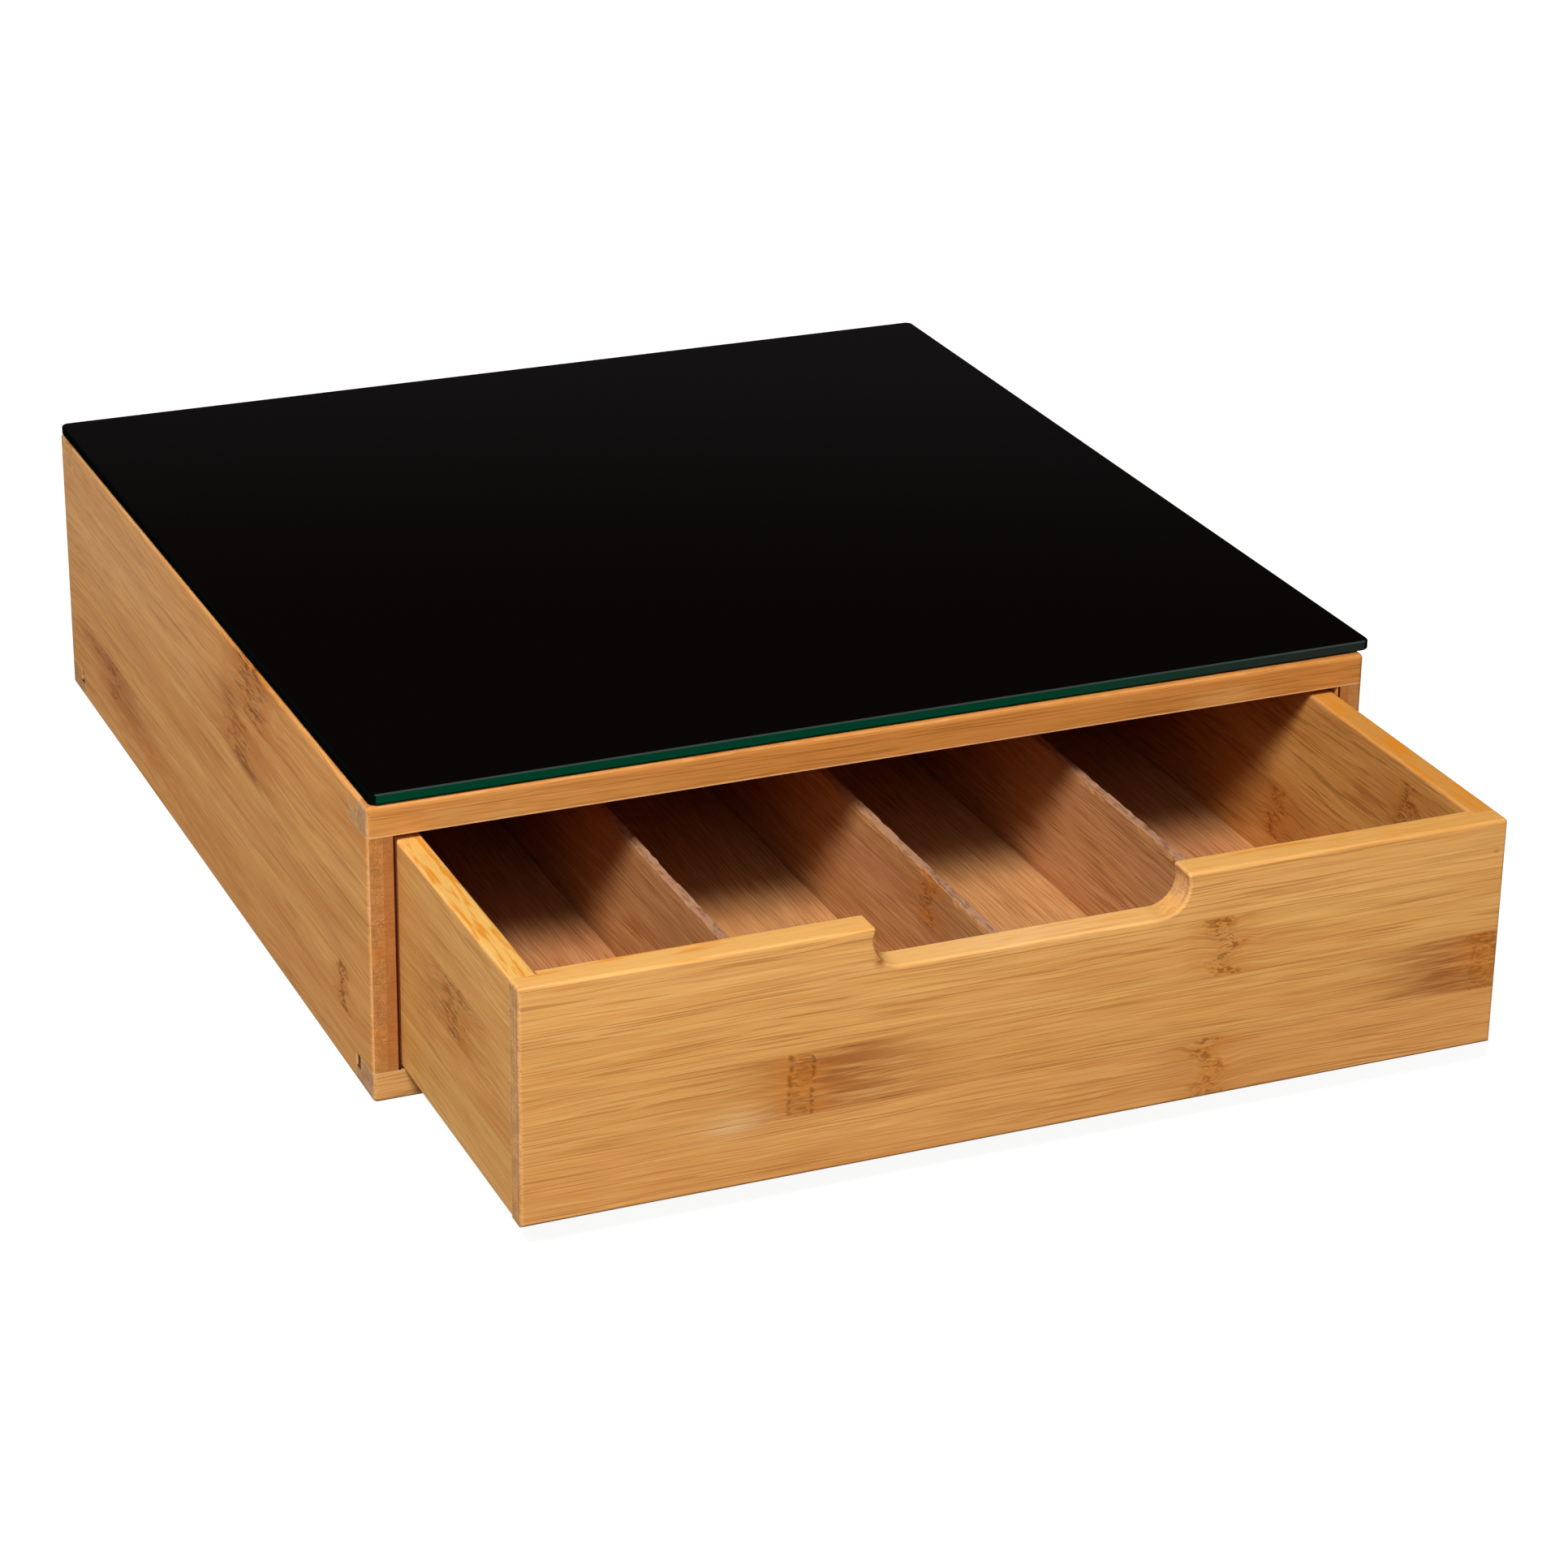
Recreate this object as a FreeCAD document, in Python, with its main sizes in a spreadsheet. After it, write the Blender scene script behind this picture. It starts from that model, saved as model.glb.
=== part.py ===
"""Capsule drawer box: a bamboo case with a black glass top and one sliding drawer with four lanes.

Frame: millimetres, +Z up, the drawer pulls out towards -Y, +X to the right seen from the front.
The origin is the middle of the rectangle that the case stands on.
The drawer is drawn partly open, by the size called drawer_open.
"""
import FreeCAD, Part
import math
import os

import Sketcher
from FreeCAD import Rotation, Vector

doc = FreeCAD.newDocument("capsule_drawer")

# Driving dimensions
SIZES = [
    ("case_width", 300, "outside of the side panels"),
    ("case_depth", 320, "front face of the case to its back face"),
    ("case_height", 87.5, "table to the top of the wood"),
    ("side_thickness", 8, "side panels of the case"),
    ("rail_depth", 15, "rails, front to back"),
    ("rail_height", 9, "rails, bottom to top"),
    ("bottom_rebate", 4, "how far the bottom panel reaches into the bottom rails"),
    ("top_rebate", 8, "how far the top panel reaches into the top rails"),
    ("panel_thickness", 4, "bottom panel and top panel of the case"),
    ("panel_gap", 0.1, "clearance round the thin panels"),
    ("back_thickness", 8, "back panel of the case"),
    ("case_edge", 1.5, "rounding of the outer edges of the case"),
    ("glass_side_overhang", 0.8, "the glass is this much wider than the case on each side"),
    ("glass_end_inset", 1.15, "the glass is this much shorter than the case at each end"),
    ("glass_thickness", 3, "glass top"),
    ("glass_corner", 2.5, "corner radius of the glass"),
    ("glass_bevel", 0.4, "ground arris of the glass"),
    ("glass_shift", 1.1, "the glass lies this far to the right of the middle"),
    ("glass_set_forward", 0.5, "the glass lies this far in front of the middle"),
    ("glass_turn", 0.25, "degrees that the glass lies askew"),
    ("pad_thickness", 0.5, "glue pads between the wood and the glass"),
    ("pad_radius", 6, "glue pads"),
    ("pad_inset", 22, "glue pad centres, in from the outside of the case"),
    ("drawer_open", 94, "how far the drawer stands open as drawn"),
    ("side_gap", 0.5, "running gap between the drawer and each side panel"),
    ("slide_gap", 0.2, "running gap under the drawer"),
    ("closed_gap", 0.3, "gap behind the drawer when it is shut"),
    ("top_gap", 2, "running gap over the drawer"),
    ("front_thickness", 9.2, "drawer front"),
    ("drawer_side", 7.5, "drawer sides and drawer back"),
    ("drawer_edge", 1, "rounding of the drawer's edges"),
    ("groove_depth", 2.5, "grooves for the drawer bottom and the dividers"),
    ("groove_height", 4, "lower edge of the drawer to the groove"),
    ("floor_thickness", 4, "drawer bottom"),
    ("groove_gap", 0.2, "end clearance in the grooves"),
    ("divider_thickness", 3, "dividers"),
    ("divider_height", 40, "dividers, floor to top edge"),
    ("grip_width", 90.6, "finger slot, end to end"),
    ("grip_depth", 11.8, "finger slot, top edge of the front to its floor"),
    ("grip_radius", 8, "cutter radius of the finger slot"),
    ("grip_edge", 0.8, "rounding of the finger slot"),
    ("brad_radius", 0.7, "steel brads"),
    ("brad_length", 20, "steel brads"),
    ("brad_gap", 0.02, "clearance round each brad"),
    ("brad_inset", 3.5, "brads, in from the front and back of the case"),
    ("brad_sink", 0.3, "brads, set below the wood"),
    ("back_brad_inset", 20, "drawer back brads, in from its lower and upper edges"),
]
LANES = 4
TOUCH = 1e-5    # mm, points nearer than this are in one place
LEAST_CUT = 0.1    # mm3, a cut that takes less than this has missed the wood

sheet = doc.addObject("Spreadsheet::Sheet", "Sizes")
for row, (alias, value, meaning) in enumerate(SIZES, start=1):
    sheet.set(f"A{row}", meaning)
    sheet.set(f"B{row}", str(value))
    sheet.setAlias(f"B{row}", alias)
doc.recompute()


def size(text):
    """A sum of named sizes, written in words, as an expression on the sheet."""
    for alias, _, _ in SIZES:
        text = " ".join(f"Sizes.{alias}" if word == alias else word for word in text.split())
    return text


def number(text):
    """The present value of a sum of named sizes."""
    value = sheet.evalExpression(size(text))
    return float(getattr(value, "Value", value))


# Sums that several boards share
INNER_WIDTH = "( case_width - 2 * side_thickness )"
DRAWER_WIDTH = f"( {INNER_WIDTH} - 2 * side_gap )"
DRAWER_LENGTH = "( case_depth - back_thickness - closed_gap )"
DRAWER_HEIGHT = "( case_height - 2 * rail_height - slide_gap - top_gap )"
DRAWER_INSIDE = f"( {DRAWER_WIDTH} - 2 * drawer_side )"
DRAWER_FLOOR = "( groove_height + floor_thickness )"
LANE_PITCH = f"( ( {DRAWER_INSIDE} + divider_thickness ) / {LANES} )"
LANE_LENGTH = f"( {DRAWER_LENGTH} - front_thickness - drawer_side )"
LIP = "( front_thickness - groove_depth - groove_gap )"
DRAWER_LEFT = f"( 0 - {DRAWER_WIDTH} / 2 )"
DRAWER_FRONT = "( 0 - case_depth / 2 - drawer_open )"
DRAWER_BASE = "( rail_height + slide_gap )"
GLASS_BASE = "( case_height + pad_thickness )"
GLASS_WIDTH = "( case_width + 2 * glass_side_overhang )"
GLASS_DEPTH = "( case_depth - 2 * glass_end_inset )"
BACK_BRAD_HEIGHTS = ("back_brad_inset", f"( {DRAWER_HEIGHT} - back_brad_inset )")


# Ways of making a board
def body_at(label, x, y, z):
    """An empty board whose own corner stands at the given place."""
    body = doc.addObject("PartDesign::Body", label)
    body.Label = label
    for axis, text in zip("xyz", (x, y, z)):
        body.setExpression(f"Placement.Base.{axis}", size(text))
    return body


def sketch_on(body, role, name, offset="0"):
    """A sketch on one of the board's own planes, moved along the plane's normal by the offset."""
    sketch = body.newObject("Sketcher::SketchObject", name)
    plane = next(f for f in body.Origin.OriginFeatures if f.Role == role)
    sketch.AttachmentSupport = (plane, "")
    sketch.MapMode = "FlatFace"
    sketch.setExpression("AttachmentOffset.Base.z", size(offset))
    return sketch


def bind(sketch, kind, name, text, *places):
    """A dimension of the sketch that follows the sheet."""
    index = sketch.addConstraint(Sketcher.Constraint(kind, *places, number(text)))
    sketch.renameConstraint(index, name)
    sketch.setExpression(f"Constraints.{name}", size(text))


def add_outline(sketch, points):
    """A closed line through the points, each held at its distance from the sketch's origin."""
    first = sketch.GeometryCount
    count = len(points)
    spots = [Vector(number(u), number(v), 0) for u, v in points]
    for i in range(count):
        sketch.addGeometry(Part.LineSegment(spots[i], spots[(i + 1) % count]), False)
    for i in range(count):
        follower = first + (i + 1) % count
        sketch.addConstraint(Sketcher.Constraint("Coincident", first + i, 2, follower, 1))
    for i, (u, v) in enumerate(points):
        bind(sketch, "DistanceX", f"across{first + i}", u, -1, 1, first + i, 1)
        bind(sketch, "DistanceY", f"along{first + i}", v, -1, 1, first + i, 1)


def rectangle(u0, v0, u1, v1):
    """The corners of a rectangle, from its low corner to its high corner."""
    return [(u0, v0), (u1, v0), (u1, v1), (u0, v1)]


def block(body, role, points, length, name="blank"):
    """A solid with the outline of the points, as long as the length along the plane's normal."""
    sketch = sketch_on(body, role, f"{name}_outline")
    add_outline(sketch, points)
    feature = body.newObject("PartDesign::Pad", name)
    feature.Profile = sketch
    feature.setExpression("Length", size(length))
    doc.recompute()
    return feature


def cut(body, sketch, length, name):
    """Takes the sketch's outline away from its plane forward, along the plane's normal."""
    before = body.Shape.Volume
    feature = body.newObject("PartDesign::Pocket", name)
    feature.Profile = sketch
    feature.Reversed = True
    feature.setExpression("Length", size(length))
    doc.recompute()
    if body.Shape.Volume > before - LEAST_CUT:
        raise RuntimeError(f"{body.Label}: {name} cuts nothing")
    return feature


def cut_outline(body, role, points, offset, length, name):
    sketch = sketch_on(body, role, f"{name}_outline", offset)
    add_outline(sketch, points)
    return cut(body, sketch, length, name)


def bore(body, role, centres, offset, length, name):
    """Round holes for brads, along the plane's normal."""
    sketch = sketch_on(body, role, f"{name}_circles", offset)
    for i, (u, v) in enumerate(centres):
        centre = Vector(number(u), number(v), 0)
        sketch.addGeometry(Part.Circle(centre, Vector(0, 0, 1), number("brad_radius")), False)
        bind(sketch, "DistanceX", f"across{i}", u, -1, 1, i, 3)
        bind(sketch, "DistanceY", f"along{i}", v, -1, 1, i, 3)
        bind(sketch, "Radius", f"hole{i}", "brad_radius + brad_gap", i)
    return cut(body, sketch, length, name)


def repeat_across(body, feature, name):
    """Repeats a divider slot for every divider, one lane apart."""
    pattern = body.newObject("PartDesign::LinearPattern", name)
    pattern.Originals = [feature]
    across = next(f for f in body.Origin.OriginFeatures if f.Role == "X_Axis")
    pattern.Direction = (across, [""])
    pattern.Occurrences = LANES - 1
    pattern.setExpression("Length", size(f"{LANE_PITCH} * {LANES - 2}"))
    body.Tip = pattern
    doc.recompute()


def lies_on(edge, **planes):
    """True if the whole straight edge lies on each plane, such as x=0."""
    for axis, value in planes.items():
        if any(abs(getattr(v.Point, axis) - value) > TOUCH for v in edge.Vertexes):
            return False
    return True


def ease(body, radius, name, chosen):
    """Rounds the edges of the board for which chosen(edge) is true."""
    base = body.Tip
    names = [f"Edge{i}" for i, edge in enumerate(base.Shape.Edges, start=1) if chosen(edge)]
    feature = body.newObject("PartDesign::Fillet", name)
    feature.Base = (base, names)
    feature.setExpression("Radius", size(radius))
    doc.recompute()


# Case side panels
# Bamboo boards with a notch at each corner, into which the rails are let and pinned.
def case_side(label, left_face, outer_face):
    body = body_at(label, left_face, "0 - case_depth / 2", "0")
    low, high = "rail_height", "case_height - rail_height"
    near, far = "rail_depth", "case_depth - rail_depth"
    outline = [
        (near, "0"), (far, "0"), (far, low), ("case_depth", low),
        ("case_depth", high), (far, high), (far, "case_height"), (near, "case_height"),
        (near, high), ("0", high), ("0", low), (near, low),
    ]
    block(body, "YZ_Plane", outline, "side_thickness")
    spots = [("side_thickness / 2", y) for y in ("brad_inset", "case_depth - brad_inset")]
    deep = "brad_length - rail_height + 2 * brad_sink"
    bore(body, "XY_Plane", spots, low, deep, "lower_brads")
    bore(body, "XY_Plane", spots, f"{high} - ( {deep} )", deep, "upper_brads")
    depth = number("case_depth")
    ends = [dict(z=0), dict(z=number("case_height")), dict(y=0), dict(y=depth)]
    outside = number(outer_face)
    ease(body, "case_edge", "outer_edges", lambda e: any(lies_on(e, x=outside, **p) for p in ends))
    return body


case_side("case_left_side", "0 - case_width / 2", "0")
case_side("case_right_side", "case_width / 2 - side_thickness", "side_thickness")


# Case rails
# Four bamboo bars across the full width. The rebate along each inner edge carries a thin panel.
def rail(label, base, rebate, front, top):
    """A rail whose rebate is in its upper inner edge."""
    body = body_at(label, "0 - case_width / 2", "0 - case_depth / 2" if front else
                   "case_depth / 2 - rail_depth", base)
    step = "rail_height - panel_thickness"
    if front:
        inner, outer, shoulder = "rail_depth", "0", f"rail_depth - {rebate}"
    else:
        inner, outer, shoulder = "0", "rail_depth", rebate
    section = [
        (outer, "0"), (inner, "0"), (inner, step), (shoulder, step),
        (shoulder, "rail_height"), (outer, "rail_height"),
    ]
    block(body, "YZ_Plane", section, "case_width")
    line = "brad_inset" if front else "rail_depth - brad_inset"
    spots = [(x, line) for x in ("side_thickness / 2", "case_width - side_thickness / 2")]
    bore(body, "XY_Plane", spots, "0", "rail_height", "brad_holes")
    width, height = number("case_width"), number("rail_height")
    outside = number(outer)
    free = height if top else 0
    ease(body, "case_edge", "outer_edges", lambda e: (
        lies_on(e, y=outside, z=free)
        or any(lies_on(e, x=x, y=outside) or lies_on(e, x=x, z=free) for x in (0, width))
    ))
    return body


TOP_RAIL = "case_height - rail_height"
rail("bottom_front_rail", "0", "bottom_rebate", True, False)
rail("bottom_rear_rail", "0", "bottom_rebate", False, False)
rail("top_front_rail", TOP_RAIL, "top_rebate", True, True)
rail("top_rear_rail", TOP_RAIL, "top_rebate", False, True)

# Case bottom panel
# A thin bamboo board between the sides. It lies in the rails' rebates, and the drawer runs on it.
bottom_reach = "( rail_depth - bottom_rebate + panel_gap )"
bottom = body_at("case_bottom_panel", f"0 - {INNER_WIDTH} / 2", "0 - case_depth / 2",
                 "rail_height - panel_thickness")
block(bottom, "XY_Plane", rectangle("panel_gap", bottom_reach, f"{INNER_WIDTH} - panel_gap",
                                    f"case_depth - {bottom_reach}"), "panel_thickness")

# Case top panel
# A thin bamboo board under the glass. Its ends lie in the top rails' rebates, and four ears
# reach through the side panels' notches to the outside, where their ends show.
top_reach = "( rail_depth - top_rebate + panel_gap )"
ear = "( rail_depth - panel_gap )"
wall = "( side_thickness + panel_gap )"
top = body_at("case_top_panel", "0 - case_width / 2", "0 - case_depth / 2",
              "case_height - panel_thickness")
block(top, "XY_Plane", [
    ("0", top_reach), ("case_width", top_reach), ("case_width", ear), (f"case_width - {wall}", ear),
    (f"case_width - {wall}", f"case_depth - {ear}"), ("case_width", f"case_depth - {ear}"),
    ("case_width", f"case_depth - {top_reach}"), ("0", f"case_depth - {top_reach}"),
    ("0", f"case_depth - {ear}"), (wall, f"case_depth - {ear}"), (wall, ear), ("0", ear),
], "panel_thickness")
ease(top, "case_edge", "ear_edges", lambda e: any(
    lies_on(e, x=x, z=number("panel_thickness")) for x in (0, number("case_width"))))

# Case back panel
# A bamboo board between the sides and the rear rails, flush with the back.
back = body_at("case_back_panel", f"0 - {INNER_WIDTH} / 2", "case_depth / 2 - back_thickness",
               "rail_height")
block(back, "XY_Plane", rectangle("0", "0", INNER_WIDTH, "back_thickness"),
    "case_height - 2 * rail_height")

# Glass top
# A float glass plate with rounded corners and a ground arris, enamelled black underneath.
glass = body_at("glass_top", "glass_shift", "0 - glass_set_forward", GLASS_BASE)
glass.Placement = FreeCAD.Placement(glass.Placement.Base, Rotation(Vector(0, 0, 1), 1))
glass.setExpression("Placement.Rotation.Angle", size("glass_turn"))
block(glass, "XY_Plane", rectangle(f"0 - {GLASS_WIDTH} / 2", f"0 - {GLASS_DEPTH} / 2",
                                 f"{GLASS_WIDTH} / 2", f"{GLASS_DEPTH} / 2"), "glass_thickness")
ease(glass, "glass_corner", "corners", lambda e: e.Vertexes[0].Z != e.Vertexes[1].Z)
plate = glass.Tip
rims = [f"Edge{i}" for i, edge in enumerate(plate.Shape.Edges, start=1)
        if edge.BoundBox.ZLength < TOUCH]
arris = glass.newObject("PartDesign::Chamfer", "ground_arris")
arris.Base = (plate, rims)
arris.setExpression("Size", size("glass_bevel"))
doc.recompute()

# Glue pads
# Clear double-sided pads on the side panels and rails hold the glass and leave a thin gap.
glue_pads = []
for i, (x, y) in enumerate([(-1, -1), (1, -1), (-1, 1), (1, 1), (-1, 0), (1, 0)]):
    disc = doc.addObject("Part::Cylinder", f"pad_{i + 1}")
    disc.setExpression("Radius", size("pad_radius"))
    disc.setExpression("Height", size("pad_thickness"))
    disc.setExpression("Placement.Base.x", size(f"{x} * ( case_width / 2 - pad_inset )"))
    disc.setExpression("Placement.Base.y", size(f"{y} * ( case_depth / 2 - pad_inset )"))
    disc.setExpression("Placement.Base.z", size("case_height"))
    glue_pads.append(disc)
glue = doc.addObject("Part::Compound", "glass_glue_pads")
glue.Label = "glass_glue_pads"
glue.Links = glue_pads

# Drawer front
# A bamboo board, rebated at both ends over the drawer sides, with a routed finger slot.
far_tenon = f"( {DRAWER_WIDTH} - drawer_side )"
front = body_at("drawer_front", DRAWER_LEFT, DRAWER_FRONT, DRAWER_BASE)
block(front, "XY_Plane", [
    ("0", "0"), (DRAWER_WIDTH, "0"), (DRAWER_WIDTH, LIP), (far_tenon, LIP),
    (far_tenon, "front_thickness"), ("drawer_side", "front_thickness"),
    ("drawer_side", LIP), ("0", LIP),
], DRAWER_HEIGHT)
cut_outline(front, "YZ_Plane", rectangle("front_thickness - groove_depth", "groove_height",
                                         "front_thickness", DRAWER_FLOOR),
            "drawer_side", DRAWER_INSIDE, "floor_groove")
front_slot = f"( drawer_side + {LANE_PITCH} - divider_thickness )"
repeat_across(front, cut_outline(
    front, "XY_Plane", rectangle(front_slot, "front_thickness - groove_depth",
                                 f"{front_slot} + divider_thickness", "front_thickness"),
    DRAWER_FLOOR, "divider_height", "divider_slot"), "divider_slots")
ease(front, "drawer_edge", "front_edges", lambda e: (
    lies_on(e, y=0)
    or lies_on(e, z=number(DRAWER_HEIGHT), x=0)
    or lies_on(e, z=number(DRAWER_HEIGHT), x=number(DRAWER_WIDTH))
    or lies_on(e, z=number(DRAWER_HEIGHT), y=number("front_thickness"))
))
half_run = "( grip_width / 2 - grip_radius )"
left_end = f"( {DRAWER_WIDTH} / 2 - {half_run} )"
right_end = f"( {DRAWER_WIDTH} / 2 + {half_run} )"
level = f"( {DRAWER_HEIGHT} - grip_depth + grip_radius )"
radius = number("grip_radius")
left_centre = Vector(number(left_end), number(level), 0)
right_centre = Vector(number(right_end), number(level), 0)
below = Vector(0, -radius, 0)
grip = sketch_on(front, "XZ_Plane", "grip_outline", "0 - front_thickness")
for centre, start in ((left_centre, math.pi / 2), (right_centre, -math.pi / 2)):
    circle = Part.Circle(centre, Vector(0, 0, 1), radius)
    grip.addGeometry(Part.ArcOfCircle(circle, start, start + math.pi), False)
grip.addGeometry(Part.LineSegment(left_centre + below, right_centre + below), False)
grip.addGeometry(Part.LineSegment(right_centre - below, left_centre - below), False)
for curve, curve_end, line, line_end in ((0, 2, 2, 1), (1, 1, 2, 2), (1, 2, 3, 1), (0, 1, 3, 2)):
    grip.addConstraint(Sketcher.Constraint("Tangent", curve, curve_end, line, line_end))
bind(grip, "Radius", "cutter", "grip_radius", 0)
bind(grip, "DistanceX", "left_end", left_end, -1, 1, 0, 3)
bind(grip, "DistanceY", "level", level, -1, 1, 0, 3)
bind(grip, "DistanceX", "run", f"2 * {half_run}", 0, 3, 1, 3)
cut(front, grip, "front_thickness", "finger_slot")
slot_left = number(left_end) - radius - TOUCH
slot_right = number(right_end) + radius + TOUCH
slot_floor = number(level) - radius - TOUCH
slot_top = number(DRAWER_HEIGHT) - number("drawer_edge") - TOUCH
ease(front, "grip_edge", "finger_slot_edges", lambda e: (
    any(lies_on(e, y=y) for y in (0, number("front_thickness")))
    and slot_floor < e.BoundBox.ZMin < slot_top
    and slot_left < e.BoundBox.XMin and e.BoundBox.XMax < slot_right
))


# Drawer sides
# Boards with a groove for the drawer bottom. Their front ends lie behind the front's lips.
def drawer_side(label, x, groove, outside):
    body = body_at(label, x, f"{DRAWER_FRONT} + {LIP}", DRAWER_BASE)
    length = f"( {DRAWER_LENGTH} - {LIP} )"
    grooved = f"( {length} - drawer_side + groove_depth )"
    block(body, "XY_Plane", rectangle("0", "0", "drawer_side", length), DRAWER_HEIGHT)
    cut_outline(body, "XZ_Plane", rectangle(groove, "groove_height", f"{groove} + groove_depth",
                                            DRAWER_FLOOR), f"0 - {grooved}", grooved, "floor_groove")
    places = [(f"{length} - drawer_side / 2", height) for height in BACK_BRAD_HEIGHTS]
    bore(body, "YZ_Plane", places, "0", "drawer_side", "brad_holes")
    top, end = number(DRAWER_HEIGHT), number(length)
    ease(body, "drawer_edge", "top_edges", lambda e: (
        lies_on(e, z=top, x=0) or lies_on(e, z=top, x=number("drawer_side"))
        or lies_on(e, y=end, x=number(outside)) or lies_on(e, y=end, z=top)
        or lies_on(e, z=0, x=number(outside))
    ))
    return body


drawer_side("drawer_left_side", DRAWER_LEFT, "( drawer_side - groove_depth )", "0")
drawer_side("drawer_right_side", f"{DRAWER_WIDTH} / 2 - drawer_side", "0", "drawer_side")

# Drawer back
# A board between the drawer sides, grooved like the front, held by brads through the sides.
rear = body_at("drawer_back", f"{DRAWER_LEFT} + drawer_side",
               f"{DRAWER_FRONT} + {DRAWER_LENGTH} - drawer_side", DRAWER_BASE)
block(rear, "XY_Plane", rectangle("0", "0", DRAWER_INSIDE, "drawer_side"), DRAWER_HEIGHT)
cut_outline(rear, "YZ_Plane", rectangle("0", "groove_height", "groove_depth", DRAWER_FLOOR),
            "0", DRAWER_INSIDE, "floor_groove")
back_slot = f"( {LANE_PITCH} - divider_thickness )"
repeat_across(rear, cut_outline(
    rear, "XY_Plane", rectangle(back_slot, "0", f"{back_slot} + divider_thickness",
                                "groove_depth"),
    DRAWER_FLOOR, "divider_height", "divider_slot"), "divider_slots")
sunk = "( brad_length - drawer_side + 2 * brad_sink )"
back_brads = [("drawer_side / 2", height) for height in BACK_BRAD_HEIGHTS]
bore(rear, "YZ_Plane", back_brads, "0", sunk, "left_brads")
bore(rear, "YZ_Plane", back_brads, f"{DRAWER_INSIDE} - {sunk}", sunk, "right_brads")
ease(rear, "drawer_edge", "top_edges", lambda e: any(
    lies_on(e, z=number(DRAWER_HEIGHT), y=y) for y in (0, number("drawer_side"))))

# Drawer bottom
# A thin board in the grooves of the front, the sides and the back.
tongue = "( groove_depth - groove_gap )"
floor = body_at("drawer_bottom", f"{DRAWER_LEFT} + drawer_side - {tongue}",
                f"{DRAWER_FRONT} + front_thickness - {tongue}", f"{DRAWER_BASE} + groove_height")
block(floor, "XY_Plane", rectangle("0", "0", f"{DRAWER_INSIDE} + 2 * {tongue}",
                                 f"{LANE_LENGTH} + 2 * {tongue}"), "floor_thickness")

# Dividers
# Thin strips on edge between the lanes, let into slots in the front and the back.
for i, side in enumerate(["left", "middle", "right"]):
    divider = body_at(
        f"divider_{side}",
        f"{DRAWER_LEFT} + drawer_side + {i + 1} * {LANE_PITCH} - divider_thickness",
        f"{DRAWER_FRONT} + front_thickness - {tongue}", f"{DRAWER_BASE} + {DRAWER_FLOOR}")
    block(divider, "XY_Plane", rectangle("0", "0", "divider_thickness",
                                       f"{LANE_LENGTH} + 2 * {tongue}"), "divider_height")


# Brads
# Headless steel pins, set just below the wood. Those in the case are hidden by the glass and
# under the case, and those in the drawer's back corners are hidden inside the case.
def brads(label, places, turn=None):
    """One node of like pins; each place is the pin's lower or left end."""
    pins = []
    for i, (x, y, z) in enumerate(places):
        pin = doc.addObject("Part::Cylinder", f"{label}_{i + 1}")
        pin.setExpression("Radius", size("brad_radius"))
        pin.setExpression("Height", size("brad_length"))
        if turn is not None:
            pin.Placement = FreeCAD.Placement(Vector(0, 0, 0), turn)
        for axis, text in zip("xyz", (x, y, z)):
            pin.setExpression(f"Placement.Base.{axis}", size(text))
        pins.append(pin)
    group = doc.addObject("Part::Compound", label)
    group.Label = label
    group.Links = pins


corners = [(f"{x} * ( case_width / 2 - side_thickness / 2 )",
            f"{y} * ( case_depth / 2 - brad_inset )") for x in (-1, 1) for y in (-1, 1)]
brads("bottom_rail_brads", [(x, y, "brad_sink") for x, y in corners])
brads("top_rail_brads", [(x, y, "case_height - brad_sink - brad_length") for x, y in corners])
line = f"{DRAWER_FRONT} + {DRAWER_LENGTH} - drawer_side / 2"
levels = [f"{DRAWER_BASE} + {height}" for height in BACK_BRAD_HEIGHTS]
starts = [f"{DRAWER_LEFT} + brad_sink", f"{DRAWER_WIDTH} / 2 - brad_sink - brad_length"]
brads("drawer_back_brads", [(x, line, z) for x in starts for z in levels],
      Rotation(Vector(0, 1, 0), 90))

# Checks, then one file for each sub-part
doc.recompute()
for thing in doc.Objects:
    if "Invalid" in thing.State or "Error" in thing.State:
        raise RuntimeError(f"{thing.Label} failed: {thing.State}")
inside_groups = [pin for group in doc.findObjects("Part::Compound") for pin in group.Links]
nodes = [thing for thing in doc.Objects if thing.TypeId in ("PartDesign::Body", "Part::Compound")
         and thing not in inside_groups]
os.makedirs("parts", exist_ok=True)
for node in nodes:
    if node.Shape.isNull() or not node.Shape.isValid():
        raise RuntimeError(f"{node.Label} has no valid shape")
for node in nodes:
    node.Shape.exportStep(f"parts/{node.Label}.step")
    box = node.Shape.BoundBox
    print(f"{node.Label}: {len(node.Shape.Solids)} solids, {node.Shape.Volume / 1000:.2f} cm3, "
          f"x {box.XMin:.1f} {box.XMax:.1f}, y {box.YMin:.1f} {box.YMax:.1f}, "
          f"z {box.ZMin:.1f} {box.ZMax:.1f}")
print(f"{len(nodes)} nodes")
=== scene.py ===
import math

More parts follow.
